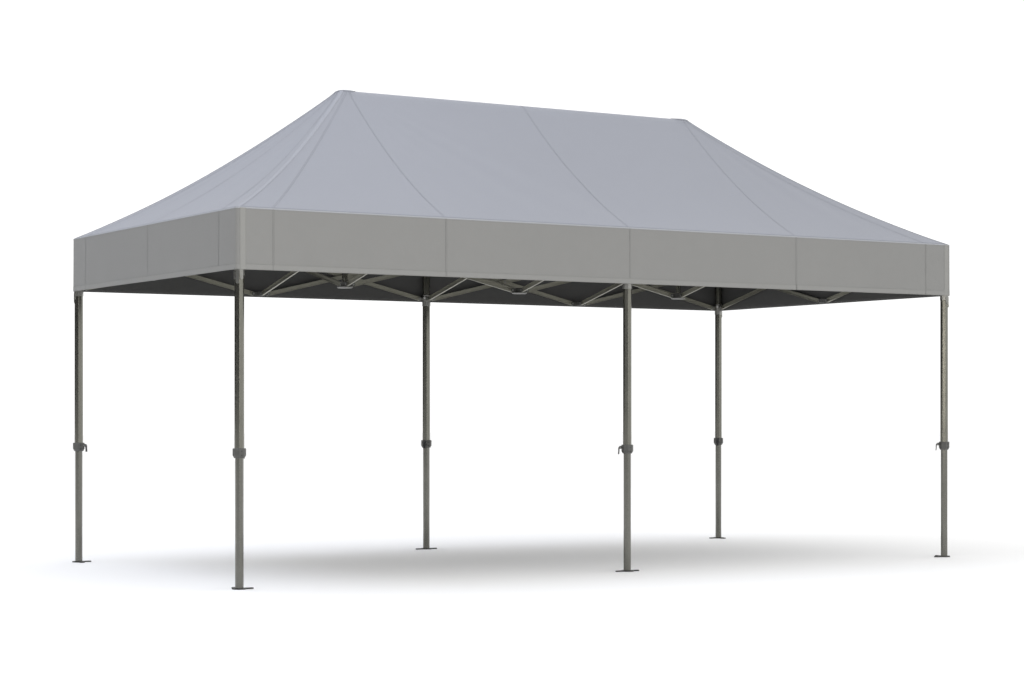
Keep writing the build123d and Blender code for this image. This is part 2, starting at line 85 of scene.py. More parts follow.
def noiseAt(tree, where, scale, detail=3.0, roughness=0.5):
    inputs = {"Vector": where, "Scale": scale, "Detail": detail, "Roughness": roughness}
    return addNode(tree, "ShaderNodeTexNoise", inputs).outputs[0]


def rampBetween(tree, factor, low, high, dark, light):
    # a colour that runs from dark to light while factor runs from low to high
    ramp = addNode(tree, "ShaderNodeValToRGB", {0: factor})
    ramp.color_ramp.elements[0].position, ramp.color_ramp.elements[1].position = low, high
    ramp.color_ramp.elements[0].color, ramp.color_ramp.elements[1].color = (*dark, 1), (*light, 1)
    return ramp.outputs[0]


def mixOf(tree, first, firstShare, second, secondShare):
    firstPart = mathNode(tree, "MULTIPLY", first, firstShare)
    return mathNode(tree, "ADD", firstPart, mathNode(tree, "MULTIPLY", second, secondShare))


def scaledColour(colour, share):
    return tuple(min(1.0, c * share) for c in colour)


def driftingColour(tree, factor, low, high, look):
    # the look's colour, darker and lighter by its drift as factor runs from low to high
    dark, light = (scaledColour(look["colour"], 1 + sign * look["drift"]) for sign in (-1, 1))
    return rampBetween(tree, factor, low, high, dark, light)


# fabrics: U runs along the threads and V across them, both in metres
def wovenFabric(name, look):
    material, tree, shader = newMaterial(name)
    uv = addNode(tree, "ShaderNodeUVMap", uv_map="cloth").outputs[0]
    place = addNode(tree, "ShaderNodeTexCoord").outputs["Object"]
    split = addNode(tree, "ShaderNodeSeparateXYZ", {0: uv})
    # plain weave: the warp's rounded threads times the weft's, one thread over and one under
    turns = 2 * math.pi / look["threadPitch"]
    warp = mathNode(tree, "SINE", mathNode(tree, "MULTIPLY", split.outputs[0], turns))
    weft = mathNode(tree, "SINE", mathNode(tree, "MULTIPLY", split.outputs[1], turns))
    weave = mathNode(tree, "MULTIPLY", warp, weft)
    # broad shade drift, cloudy mottling, and specks of dust
    drift = noiseAt(tree, place, look["driftScale"], 2.0)
    mottle = noiseAt(tree, place, look["mottleScale"], 5.0, 0.62)
    speck = noiseAt(tree, place, 260.0, 2.0)
    base = driftingColour(tree, mixOf(tree, drift, 0.6, mottle, 0.4), 0.32, 0.68, look)
    threads = mathNode(tree, "MULTIPLY_ADD", weave, look["threadShade"], 1.0)
    specked = mathNode(tree, "MULTIPLY_ADD", speck, 0.05, 0.975)
    shade = mathNode(tree, "MULTIPLY", threads, specked)
    tinted = addNode(tree, "ShaderNodeVectorMath", {0: base}, operation="SCALE")
    tree.links.new(shade, tinted.inputs["Scale"])
    tree.links.new(tinted.outputs[0], shader.inputs["Base Color"])
    # tension folds: noise drawn out along the pull, below them the weave
    stretched = addNode(tree, "ShaderNodeMapping", {0: uv, "Scale": look["foldScale"]}).outputs[0]
    folds = noiseAt(tree, stretched, 1.0, 4.0, 0.55)
    coarse = {"Height": folds, "Strength": 1.0, "Distance": look["foldDepth"]}
    foldBump = addNode(tree, "ShaderNodeBump", coarse)
    fine = {"Height": weave, "Strength": 0.25, "Distance": 0.00012, "Normal": foldBump.outputs[0]}
    weaveBump = addNode(tree, "ShaderNodeBump", fine)
    tree.links.new(weaveBump.outputs[0], shader.inputs["Normal"])
    rough = mathNode(tree, "MULTIPLY_ADD", mottle, 0.16, look["roughness"] - 0.08)
    tree.links.new(rough, shader.inputs["Roughness"])
    shader.inputs["Specular IOR Level"].default_value = look["gloss"]
    shader.inputs["Sheen Weight"].default_value = look["sheen"]
    shader.inputs["Sheen Roughness"].default_value = 0.5
    return material, tree, shader


def stitchedTape(name, look):
    # a tape of the same cloth: V runs from -1 to 1 across it, with a row of stitches near each edge, and
    # both edges darkened as painted shadow along the seam
    material, tree, shader = wovenFabric(name, look)
    uv = addNode(tree, "ShaderNodeUVMap", uv_map="tape").outputs[0]
    split = addNode(tree, "ShaderNodeSeparateXYZ", {0: uv})
    across = mathNode(tree, "ABSOLUTE", split.outputs[1])
    fromRow = mathNode(tree, "ABSOLUTE", mathNode(tree, "SUBTRACT", across, look["stitchRow"]))
    row = mathNode(tree, "LESS_THAN", fromRow, look["stitchWidth"])
    count = mathNode(tree, "MULTIPLY", split.outputs[0], 1 / look["stitchPitch"])
    dash = mathNode(tree, "LESS_THAN", mathNode(tree, "FRACT", count), 0.72)
    stitch = mathNode(tree, "MULTIPLY", row, dash)
    # the darker band at both edges is painted shadow along the seam's fold
    edge = mathNode(tree, "GREATER_THAN", across, look["edgeFrom"])
    stitchDark = mathNode(tree, "MULTIPLY", stitch, look["stitchShade"])
    edgePaintedShade = mathNode(tree, "MULTIPLY", edge, look["edgeShade"])
    keep = mathNode(tree, "SUBTRACT", 1.0, mathNode(tree, "MAXIMUM", stitchDark, edgePaintedShade))
    old = shader.inputs["Base Color"].links[0].from_socket
    tinted = addNode(tree, "ShaderNodeVectorMath", {0: old}, operation="SCALE")
    tree.links.new(keep, tinted.inputs["Scale"])
    tree.links.new(tinted.outputs[0], shader.inputs["Base Color"])
    oldNormal = shader.inputs["Normal"].links[0].from_socket
    raised = {"Height": stitch, "Strength": 0.8, "Distance": 0.0006, "Normal": oldNormal}
    thread = addNode(tree, "ShaderNodeBump", raised)
    tree.links.new(thread.outputs[0], shader.inputs["Normal"])
    return material


# metals and plastics
def anodisedMetal(name, look):
    # drawn profile: noise stretched along the length gives the draw lines, broad noise the handling marks
    material, tree, shader = newMaterial(name)
    place = addNode(tree, "ShaderNodeTexCoord").outputs["Object"]
    drawn = addNode(tree, "ShaderNodeMapping", {0: place, "Scale": look["lineScale"]}).outputs[0]
    lines = noiseAt(tree, drawn, 1.0, 3.0)
    marks = noiseAt(tree, place, 9.0, 6.0, 0.65)
    scuff = noiseAt(tree, place, 60.0, 4.0, 0.7)
    colour = driftingColour(tree, mixOf(tree, lines, 0.5, marks, 0.5), 0.3, 0.7, look)
    tree.links.new(colour, shader.inputs["Base Color"])
    scuffed = mathNode(tree, "MULTIPLY_ADD", scuff, 0.14, look["roughness"] - 0.13)
    rough = mathNode(tree, "ADD", mathNode(tree, "MULTIPLY", lines, 0.12), scuffed)
    tree.links.new(rough, shader.inputs["Roughness"])
    shader.inputs["Metallic"].default_value = look["metallic"]
    bump = addNode(tree, "ShaderNodeBump", {"Height": lines, "Strength": 0.35, "Distance": 0.00015})
    tree.links.new(bump.outputs[0], shader.inputs["Normal"])
    return material


def mouldedPlastic(name, look):
    # moulding grain from fine cells, colour drift from broad noise, paler rubbed patches
    material, tree, shader = newMaterial(name)
    place = addNode(tree, "ShaderNodeTexCoord").outputs["Object"]
    grain = addNode(tree, "ShaderNodeTexVoronoi", {"Vector": place, "Scale": look["grainScale"]}).outputs[0]
    drift = noiseAt(tree, place, 14.0, 4.0)
    rubbed = noiseAt(tree, place, 70.0, 5.0, 0.7)
    colour = driftingColour(tree, mixOf(tree, drift, 0.55, rubbed, 0.45), 0.35, 0.7, look)
    tree.links.new(colour, shader.inputs["Base Color"])
    rough = mathNode(tree, "MULTIPLY_ADD", rubbed, 0.2, look["roughness"] - 0.1)
    tree.links.new(rough, shader.inputs["Roughness"])
    shader.inputs["Metallic"].default_value = look["metallic"]
    bump = addNode(tree, "ShaderNodeBump", {"Height": grain, "Strength": 0.3, "Distance": 0.0002})
    tree.links.new(bump.outputs[0], shader.inputs["Normal"])
    return material


# roof and valance are one fabric: the roof's lighter, bluer colour is painted cool light from above, and the
# valance's darker, warmer colour is painted shade; each tape takes its panel's colour
roofClothPaintedLight = {
    "colour": (0.272, 0.283, 0.319), "drift": 0.03, "driftScale": 0.5, "mottleScale": 7.0,
    "threadPitch": 0.0011, "threadShade": 0.05, "foldScale": (1.3, 0.35, 1.0), "foldDepth": 0.006,
    "roughness": 0.62, "gloss": 0.25, "sheen": 0.1,
}
valanceClothPaintedShade = dict(roofClothPaintedLight, colour=(0.245, 0.244, 0.236), foldScale=(2.2, 0.9, 1.0), foldDepth=0.004)
# the underside's dark colour is painted shade under the canopy, far darker than the same fabric's top
underClothPaintedShade = dict(roofClothPaintedLight, colour=(0.062, 0.062, 0.06), drift=0.06, roughness=0.55, gloss=0.3, sheen=0.0)
# edgeShade darkens each tape's edges as painted shadow along its seam
roofTape = dict(
    roofClothPaintedLight, stitchRow=0.5, stitchWidth=0.1, stitchPitch=0.0042, stitchShade=0.18,
    edgeFrom=0.72, edgeShade=0.22,
)
hipTape = dict(
    roofTape, colour=(0.3, 0.311, 0.347), stitchRow=0.82, stitchWidth=0.05, edgeFrom=0.94, edgeShade=0.1
)
patchTape = dict(hipTape, colour=(0.285, 0.295, 0.33), stitchRow=0.86, stitchWidth=0.03)
valanceTape = dict(roofTape, colour=(0.245, 0.244, 0.236), edgeShade=0.28)
cornerTape = dict(hipTape, colour=(0.278, 0.276, 0.263))
hemTape = dict(hipTape, colour=(0.262, 0.261, 0.251), edgeShade=0.16)
# the eave piping's lighter colour is a painted highlight along the fold over the eave
pipingHighlightTape = dict(hipTape, colour=(0.37, 0.38, 0.40), stitchShade=0.1, edgeShade=0.1)
legMetal = {
    "colour": (0.185, 0.182, 0.157), "drift": 0.14, "metallic": 0.9, "roughness": 0.16,
    "lineScale": (420.0, 420.0, 3.0),
}
barMetal = dict(legMetal, colour=(0.27, 0.265, 0.22), roughness=0.42, lineScale=(60.0, 60.0, 300.0))
bracketPlastic = {
    "colour": (0.06, 0.06, 0.058), "drift": 0.2, "metallic": 0.0, "roughness": 0.5, "grainScale": 900.0,
}
steel = dict(bracketPlastic, colour=(0.45, 0.45, 0.44), drift=0.12, metallic=1.0, roughness=0.34)

cloths = {
    "roof": wovenFabric("roofClothPaintedLight", roofClothPaintedLight)[0],
    "valance": wovenFabric("valanceClothPaintedShade", valanceClothPaintedShade)[0],
    "under": wovenFabric("underClothPaintedShade", underClothPaintedShade)[0],
    "roofTape": stitchedTape("roofTape", roofTape),
    "hipTape": stitchedTape("hipTape", hipTape),
    "valanceTape": stitchedTape("valanceTape", valanceTape),
    "hemTape": stitchedTape("hemTape", hemTape),
    "cornerTape": stitchedTape("cornerTape", cornerTape),
    "patchTape": stitchedTape("patchTape", patchTape),
    "pipingHighlightTape": stitchedTape("pipingHighlightTape", pipingHighlightTape),
}
finishes = {
    "upper_leg": anodisedMetal("legMetal", legMetal),
    "lower_leg": anodisedMetal("innerLegMetal", dict(legMetal, colour=(0.165, 0.163, 0.145))),
    "truss_bars": anodisedMetal("barMetal", barMetal),
    "mast_tubes": anodisedMetal("mastMetal", dict(legMetal, colour=(0.24, 0.24, 0.21))),
    "mast_rod": anodisedMetal("rodMetal", dict(legMetal, colour=(0.36, 0.36, 0.34), roughness=0.3)),
    "foot": mouldedPlastic("footPlate", dict(bracketPlastic, colour=(0.05, 0.05, 0.047), metallic=0.4)),
    "leg_clamps": mouldedPlastic("clampPlastic", dict(bracketPlastic, colour=(0.085, 0.085, 0.079))),
    "clamp_lever": mouldedPlastic("leverPlastic", dict(bracketPlastic, colour=(0.02, 0.02, 0.02))),
    "clamp_bushes": mouldedPlastic("bushPlastic", dict(bracketPlastic, colour=(0.5, 0.5, 0.48))),
    "spacer_washers": mouldedPlastic("washerPlastic", dict(bracketPlastic, colour=(0.3, 0.3, 0.29))),
    "sliders": mouldedPlastic("sliderCasting", dict(steel, colour=(0.28, 0.278, 0.26), roughness=0.3)),
    "heads": mouldedPlastic("headCasting", dict(bracketPlastic, colour=(0.08, 0.08, 0.075))),
    "hubs": mouldedPlastic("hubCasting", dict(bracketPlastic, colour=(0.07, 0.07, 0.064))),
    "hub_discs": mouldedPlastic("discPlastic", dict(bracketPlastic, colour=(0.2, 0.2, 0.19), drift=0.1)),
    "mast_cap": mouldedPlastic("capPlastic", bracketPlastic),
    "mast_spring": mouldedPlastic("springSteel", steel),
    "lock_pin": mouldedPlastic("pinSteel", steel),
    "rivets": mouldedPlastic("rivetSteel", dict(steel, colour=(0.3, 0.3, 0.29))),
    "lever_pins": mouldedPlastic("leverPinSteel", steel),
    "screws": mouldedPlastic("screwSteel", dict(steel, colour=(0.06, 0.06, 0.06))),
}
for nodeName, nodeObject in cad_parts.items():
    chosen = next((finishes[key] for key in finishes if key in nodeName), None)
    if chosen and nodeObject.data.materials:
        for index in range(len(nodeObject.data.materials)):
            nodeObject.data.materials[index] = chosen
    elif chosen:
        nodeObject.data.materials.append(chosen)
print("stage 2: finishes on the frame's own pieces")

# the canopy's shape
roofLow, roofHigh = (np.array(corner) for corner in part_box("canopy_roof"))
valanceLow = np.array(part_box("canopy_valance")[0])
canopy = {
    "halfLong": float(roofHigh[0]), "halfShort": float(roofHigh[1]),
    "eave": float(roofLow[2]) + 0.0015, "hem": float(valanceLow[2]),
    # the fall of the slopes, and where the crest rounds over
    "slope": 0.485, "sag": 0.152, "crestFrom": 1.42,
    "cornerRadius": 0.022, "foldRadius": 0.012, "clothThickness": 0.001, "capReach": 0.078,
    "longSamples": 260, "shortSamples": 140, "cornerSamples": 7, "slopeSamples": 64,
}


def heightAt(inset):
    # height = eave + slope * inset + sag * inset squared, then a parabola that levels out at the ridge
    c = canopy
    inset = np.asarray(inset, float)
    straight = np.minimum(inset, c["crestFrom"])
    rise = c["eave"] + c["slope"] * straight + c["sag"] * straight ** 2
    steep = c["slope"] + 2 * c["sag"] * c["crestFrom"]
    past = np.maximum(inset - c["crestFrom"], 0)
    return rise + steep * (past - past ** 2 / (2 * (c["halfShort"] - c["crestFrom"])))


def insetAt(x, y):
    # distance in from the rounded rectangle's edge: the nearer side's, eased over the corner radius
    c = canopy
    a, b = c["halfLong"] - np.abs(x), c["halfShort"] - np.abs(y)
    r = np.minimum(c["cornerRadius"], np.maximum(c["halfShort"] - np.minimum(a, b), 0))
    root = np.sqrt(np.maximum(2 * r ** 2 - (a - b) ** 2, 0))
    return np.where(np.abs(a - b) < r, (a + b + root) / 2 - r, np.minimum(a, b))


# the cloth's low folds: how deep, how far they fade out at the eave and the ridge, and where the fan lies
wrinkles = {
    "fanDepth": 0.0022, "rollDepth": 0.0028, "eaveFade": 0.25, "ridgeFade": 0.3,
    "fanCount": 26, "fanAngle": 0.79, "fanSpread": 0.35, "fanReach": 0.9, "fanLength": 0.75,
}


def wrinkleAt(x, y):
    # folds that fan out from the masts to the corners, and a slow roll; none at the eave and the ridge
    c, w = canopy, wrinkles
    inset = insetAt(x, y)
    fade = np.clip(inset / w["eaveFade"], 0, 1) * np.clip((c["halfShort"] - inset) / w["ridgeFade"], 0, 1)
    mastX = c["halfLong"] - c["halfShort"]
    around = np.arctan2(np.abs(y), np.abs(np.abs(x) - mastX) + 1e-6)
    reach = np.hypot(y, np.maximum(np.abs(x) - mastX, 0))
    folds = np.sin(around * w["fanCount"] + 0.8 * np.sin(3.1 * reach))
    fan = folds * np.exp(-((around - w["fanAngle"]) / w["fanSpread"]) ** 2)
    roll = np.sin(x * 2.1 + 0.7 * np.sin(y * 2.6)) * np.cos(y * 3.0 + 0.9)
    fading = np.exp(-((reach - w["fanReach"]) / w["fanLength"]) ** 2)
    return fade * (w["fanDepth"] * fan * fading + w["rollDepth"] * roll)


def capLift(x, y):
    # the cloth is pushed up flat over each mast's head: its share of the way to the crest is
    # exp(-(r / reach) ** 4), with r the distance from the mast
    c = canopy
    r = np.hypot(np.abs(x) - (c["halfLong"] - c["halfShort"]), y)
    return (heightAt(c["halfShort"]) - heightAt(insetAt(x, y))) * np.exp(-(r / c["capReach"]) ** 4)


def drapeAt(x, y):
    return heightAt(insetAt(x, y)) + wrinkleAt(x, y) + capLift(x, y)


def rectangleRings(halfX, halfY, radius):
    # each row is one ring: four straight sides joined by quarter circles, anticlockwise from the front left
    c = canopy
    halfX, halfY, radius = (np.asarray(v, float)[:, None] for v in (halfX, halfY, radius))
    along = {n: np.linspace(-1, 1, c[n])[None, :] for n in ("longSamples", "shortSamples")}
    turn = np.linspace(0, np.pi / 2, c["cornerSamples"] + 2)[None, 1:-1]
    sx, sy = halfX - radius, halfY - radius
    xs, ys, panel = [], [], []
    for side in range(4):
        long = side % 2 == 0
        t = along["longSamples" if long else "shortSamples"]
        sign = 1 if side in (0, 1) else -1
        xs.append(sign * sx * t if long else sign * halfX + 0 * t)
        ys.append(-sign * halfY + 0 * t if long else sign * sy * t)
        angle = turn + (side - 1) * np.pi / 2
        signX, signY = (1, 1, -1, -1)[side], (-1, 1, 1, -1)[side]
        xs.append(signX * sx + radius * np.cos(angle))
        ys.append(signY * sy + radius * np.sin(angle))
        half = turn.shape[1] // 2
        panel += [side] * (t.shape[1] + half) + [(side + 1) % 4] * (turn.shape[1] - half)
    return np.hstack(xs), np.hstack(ys), np.array(panel)


def gridFaces(rows, columns, closed):
    # quads between neighbouring rows and columns, wound so that they face outwards when rows go up
    r = np.arange(rows - 1)[:, None]
    k = np.arange(columns if closed else columns - 1)[None, :]
    after = (k + 1) % columns
    low, high = r * columns, (r + 1) * columns
    return np.stack([low + k, low + after, high + after, high + k], -1).reshape(-1, 4)


def clothMesh(name, points, faces, loopUvs, materials, thickness, merge=False):
    # loopUvs: a dictionary of map name to one U, V pair for each corner of each face
    mesh = bpy.data.meshes.new(name)
    mesh.from_pydata(points.tolist(), [], faces.tolist())
    for mapName, values in loopUvs.items():
        mesh.uv_layers.new(name=mapName).data.foreach_set("uv", np.asarray(values, np.float32).ravel())
    if merge:
        work = bmesh.new()
        work.from_mesh(mesh)
        bmesh.ops.remove_doubles(work, verts=work.verts, dist=2e-5)
        bmesh.ops.dissolve_degenerate(work, edges=work.edges, dist=1e-6)
        work.to_mesh(mesh)
        work.free()
    for material in materials:
        mesh.materials.append(material)
    mesh.polygons.foreach_set("use_smooth", np.ones(len(mesh.polygons), bool))
    piece = bpy.data.objects.new(name, mesh)
    scene.collection.objects.link(piece)
    if thickness:
        shell = piece.modifiers.new("thickness", "SOLIDIFY")
        shell.thickness, shell.offset, shell.use_even_offset = thickness, -1.0, False
        shell.material_offset = len(materials) - 1
    return piece


# roof: rings of the rounded rectangle, each further in and higher, down to the ridge line
c = canopy
foldAngle = math.pi / 2 - math.atan(c["slope"])
foldInset = c["foldRadius"] * (1 - math.cos(foldAngle))
foldTop = float(heightAt(foldInset))
share = np.linspace(0, 1, c["slopeSamples"])
insets = foldInset + (c["halfShort"] - foldInset) * share
roofRadius = np.minimum(c["cornerRadius"], c["halfShort"] - insets)
roofX, roofY, panels = rectangleRings(c["halfLong"] - insets, c["halfShort"] - insets, roofRadius)
roofZ = heightAt(insets)[:, None] + wrinkleAt(roofX, roofY) + capLift(roofX, roofY)
slopeLength = np.concatenate([[0], np.cumsum(np.hypot(np.diff(insets), np.diff(heightAt(insets))))])
roofFaces = gridFaces(*roofX.shape, True)


def ringUvs(x, y, rise, faces, panels):
    # U is x on the long sides and y on the short ones, V is the length up the cloth
    columns = x.shape[1]
    side = np.repeat(panels[faces[:, 0] % columns][:, None], 4, 1)
    u = np.where(side % 2 == 0, x.ravel()[faces], y.ravel()[faces])
    return np.stack([u, np.repeat(rise, columns)[faces]], -1)


roofSheet = clothMesh(
    "canopyRoof", np.stack([roofX, roofY, roofZ], -1).reshape(-1, 3), roofFaces,
    {"cloth": ringUvs(roofX, roofY, slopeLength, roofFaces, panels)},
    [cloths["roof"], cloths["under"]], c["clothThickness"], merge=True,
)

# valance: the hem straight up to the eave, then over the fold that meets the roof
valance = {
    "wave": 0.0022, "set": 0.0008, "legAt": 2.95, "legHold": 0.25, "fallPower": 1.3,
    "rows": 22, "foldRows": 7,
}
upright = foldTop - c["foldRadius"] * math.sin(foldAngle)
turns = np.linspace(0, foldAngle, valance["foldRows"])
wallZ = np.linspace(c["hem"] + 0.0005, upright, valance["rows"])[:-1]
valanceZ = np.concatenate([wallZ, upright + c["foldRadius"] * np.sin(turns)])
valanceInset = np.concatenate([0 * wallZ, c["foldRadius"] * (1 - np.cos(turns))])


def valanceWave(x, y, z):
    # a slow outward ripple that grows from nothing at the eave to its full size at the hem
    v = valance
    fall = np.clip((upright - z) / (upright - c["hem"]), 0, 1) ** v["fallPower"]
    along = np.where(np.abs(y) > np.abs(x) - (c["halfLong"] - c["halfShort"]), x, y)
    fromLeg = np.minimum(np.abs(np.abs(along) - v["legAt"]), np.abs(along))
    atLeg = np.clip(fromLeg / v["legHold"], 0, 1)
    ripple = np.sin(along * 4.3 + 0.6) + 0.6 * np.sin(along * 9.7 + 1.9) + 0.35 * np.sin(along * 17.0)
    return fall * (v["wave"] * ripple * atLeg + v["set"])


def outwardAt(x, y):
    # the outward direction of the rounded rectangle at a point on its edge
    cx = np.clip(x, -(c["halfLong"] - c["cornerRadius"]), c["halfLong"] - c["cornerRadius"])
    cy = np.clip(y, -(c["halfShort"] - c["cornerRadius"]), c["halfShort"] - c["cornerRadius"])
    length = np.maximum(np.hypot(x - cx, y - cy), 1e-9)
    return (x - cx) / length, (y - cy) / length


def valanceRings(heights, ringInsets, lift):
    # rings at the given heights, pushed out by the ripple and by lift
    radius = c["cornerRadius"] - ringInsets * 0.3
    x, y, panel = rectangleRings(c["halfLong"] - ringInsets, c["halfShort"] - ringInsets, radius)
    z = np.repeat(heights[:, None], x.shape[1], 1)
    ox, oy = outwardAt(x, y)
    push = valanceWave(x, y, z) + lift
    return x + ox * push, y + oy * push, z, panel


vx, vy, vz, vPanels = valanceRings(valanceZ, valanceInset, 0.0)
valanceLength = np.concatenate([[0], np.cumsum(np.hypot(np.diff(valanceZ), np.diff(valanceInset)))])
valanceFaces = gridFaces(*vx.shape, True)
valanceSheet = clothMesh(
    "canopyValance", np.stack([vx, vy, vz], -1).reshape(-1, 3), valanceFaces,
    {"cloth": ringUvs(vx, vy, valanceLength, valanceFaces, vPanels)},
    [cloths["valance"], cloths["under"]], c["clothThickness"],
)
print("stage 3: canopy roof and valance")

# tapes on the canopy: each is a strip carried along a path
tape = {
    "lift": 0.0009, "hemWidth": 0.038, "seamWidth": 0.011, "hipWidth": 0.034, "cornerWidth": 0.044,
    "besideCorner": 0.254, "besideEndCorner": 0.28, "bow": -0.02, "patchRadius": 0.075, "pipingWidth": 0.014,
    "fromEave": 0.012, "hipFromEave": 0.014, "besideMast": 0.012,
    # how much shorter than the slope a seam is, as it stops short of the ridge
    "slopeStop": 0.03, "endStop": 0.05, "fanStop": 0.07,
    "foldAllowance": 0.02,
}


def stripMesh(grids, name, material):
    # grids: a list of x, y, z, length and across arrays of one shape; one mesh of all of them
    points, faces, flatUv, tapeUv, start = [], [], [], [], 0
    for x, y, z, length, across, width in grids:
        rows, columns = x.shape
        quad = gridFaces(rows, columns, False)
        points.append(np.stack([x, y, z], -1).reshape(-1, 3))
        faces.append(quad + start)
        start += rows * columns
        tapeUv.append(np.stack([length.ravel()[quad], across.ravel()[quad]], -1))
        flatUv.append(np.stack([length.ravel()[quad], across.ravel()[quad] * width / 2], -1))
    uvs = {"cloth": np.concatenate(flatUv), "tape": np.concatenate(tapeUv)}
    return clothMesh(name, np.concatenate(points), np.concatenate(faces), uvs, [material], 0.0)


def roofStrip(path, width, lift):
    # path: plan points up the roof; the strip reaches half its width to each side and lies on the drape
    along = np.gradient(path, axis=0)
    along /= np.maximum(np.hypot(along[:, 0], along[:, 1]), 1e-9)[:, None]
    across = np.linspace(-1, 1, 9)[None, :]
    x = path[:, :1] + along[:, 1:] * across * width / 2
    y = path[:, 1:] - along[:, :1] * across * width / 2
    z = drapeAt(x, y) + lift
    step = np.hypot(np.hypot(*np.diff(path, axis=0).T), np.diff(drapeAt(path[:, 0], path[:, 1])))
    length = np.repeat(np.concatenate([[0], np.cumsum(step)])[:, None], across.shape[1], 1)
    return x, y, z, length, np.repeat(across, len(path), 0), width


mastX = c["halfLong"] - c["halfShort"]
climb = np.linspace(0, 1, 90)
slopeSeams, hipSeams = [], []
k = tape


def seamAt(x, y):
    return roofStrip(np.stack([x, y], -1), k["seamWidth"], k["lift"])


for sign in (-1, 1):
    for seamX in (-mastX, 0.0, mastX):
        y = sign * (c["halfShort"] - k["fromEave"] - (c["halfShort"] - k["slopeStop"]) * climb)
        slopeSeams.append(seamAt(seamX + 0 * y, y))
    for mirror in (-1, 1):
        # seams that fan out from the masts: on the long slopes beside the hips, and on the end slopes
        bow = k["bow"] * np.sin(np.pi * climb)
        seamFoot = c["halfLong"] - k["besideCorner"]
        x = mirror * (seamFoot - (seamFoot - mastX - k["besideMast"]) * climb - bow)
        y = sign * (c["halfShort"] - k["fromEave"] - (c["halfShort"] - k["fanStop"]) * climb)
        slopeSeams.append(seamAt(x, y))
        x = mirror * (c["halfLong"] - k["fromEave"] - (c["halfShort"] - k["fanStop"]) * climb)
        y = sign * ((c["halfShort"] - k["besideEndCorner"]) * (1 - climb) + k["besideMast"] - bow)
        slopeSeams.append(seamAt(x, y))
        x = mirror * (c["halfLong"] - k["hipFromEave"] - (c["halfShort"] - k["endStop"]) * climb)
        y = sign * (c["halfShort"] - k["hipFromEave"] - (c["halfShort"] - k["endStop"]) * climb)
        hipSeams.append(roofStrip(np.stack([x, y], -1), k["hipWidth"], k["lift"] * 1.6))
    x = sign * (c["halfLong"] - k["fromEave"] - (c["halfShort"] - k["endStop"]) * climb)
    slopeSeams.append(seamAt(x, 0 * x))
slopeSeamTapes = stripMesh(slopeSeams, "canopySlopeSeams", cloths["roofTape"])
hipBands = stripMesh(hipSeams, "canopyHipBands", cloths["hipTape"])


def peakPatch(centreX, radius, lift):
    # a round patch on the drape over a mast's head: radius times the square root of share, all the way round
    share = np.sqrt(np.linspace(0.002, 1, 14))[:, None]
    angle = np.linspace(2 * np.pi, 0, 73)[None, :]
    x, y = centreX + radius * share * np.cos(angle), radius * share * np.sin(angle)
    length = (2 * np.pi - angle) * radius + 0 * share
    return x, y, drapeAt(x, y) + lift, length, share + 0 * angle, 2 * radius


peaks = [peakPatch(at, tape["patchRadius"], tape["lift"] * 2.4) for at in (-mastX, mastX)]
peakPatches = stripMesh(peaks, "canopyPeakPatches", cloths["patchTape"])


def bandAround(low, high, lift, rows):
    # a band round the valance between two heights, with V from -1 at its lower edge to 1 at its upper one
    heights = np.linspace(low, high, rows)
    x, y, z, _ = valanceRings(heights, 0 * heights, lift)
    x, y, z = (np.hstack([a, a[:, :1]]) for a in (x, y, z))
    step = np.hypot(np.diff(x[0]), np.diff(y[0]))
    length = np.repeat(np.concatenate([[0], np.cumsum(step)])[None, :], rows, 0)
    across = np.repeat(np.linspace(-1, 1, rows)[:, None], x.shape[1], 1)
    return x, y, z, length, across, high - low


hem = bandAround(c["hem"] + 0.0002, c["hem"] + tape["hemWidth"], tape["lift"], 7)
hemBand = stripMesh([hem], "canopyHem", cloths["hemTape"])


def eavePipingHighlight():
    # a narrow welded edge over the fold where roof and valance meet, bulging outwards like half a sine; its
    # lighter colour is a painted highlight along the fold
    turn = np.linspace(0.15, 0.95, 9) * foldAngle
    radius = c["foldRadius"]
    across = np.linspace(-1, 1, 9)
    bulge = (tape["lift"] * (1 + 1.5 * np.cos(across * np.pi / 2)))[:, None]
    x, y, z, _ = valanceRings(upright + radius * np.sin(turn), radius * (1 - np.cos(turn)), bulge)
    x, y, z = (np.hstack([a, a[:, :1]]) for a in (x, y, z))
    step = np.hypot(np.diff(x[0]), np.diff(y[0]))
    length = np.repeat(np.concatenate([[0], np.cumsum(step)])[None, :], 9, 0)
    return x, y, z + bulge * 0.4, length, across[:, None] + 0 * x, tape["pipingWidth"]


pipingHighlight = stripMesh([eavePipingHighlight()], "canopyEavePipingHighlight", cloths["pipingHighlightTape"])


def uprightStrip(side, at, width, lift):
    # a vertical strip on the valance: side 0 front, 1 right, 2 back, 3 left, at a distance along it
    across = np.linspace(-1, 1, 7)[None, :]
    z = np.linspace(c["hem"] + 0.001, upright + c["foldRadius"] * 0.5, 30)[:, None] + 0 * across
    along = at + across * width / 2 + 0 * z
    edge = (c["halfShort"], c["halfLong"])[side % 2] + 0 * along
    sign = (1, 1, -1, -1)[side]
    x, y = ((sign * along, -sign * edge) if side % 2 == 0 else (sign * edge, sign * along))
    ox, oy = outwardAt(x, y)
    push = valanceWave(x, y, z) + lift
    return x + ox * push, y + oy * push, z, z - c["hem"], across + 0 * z, width


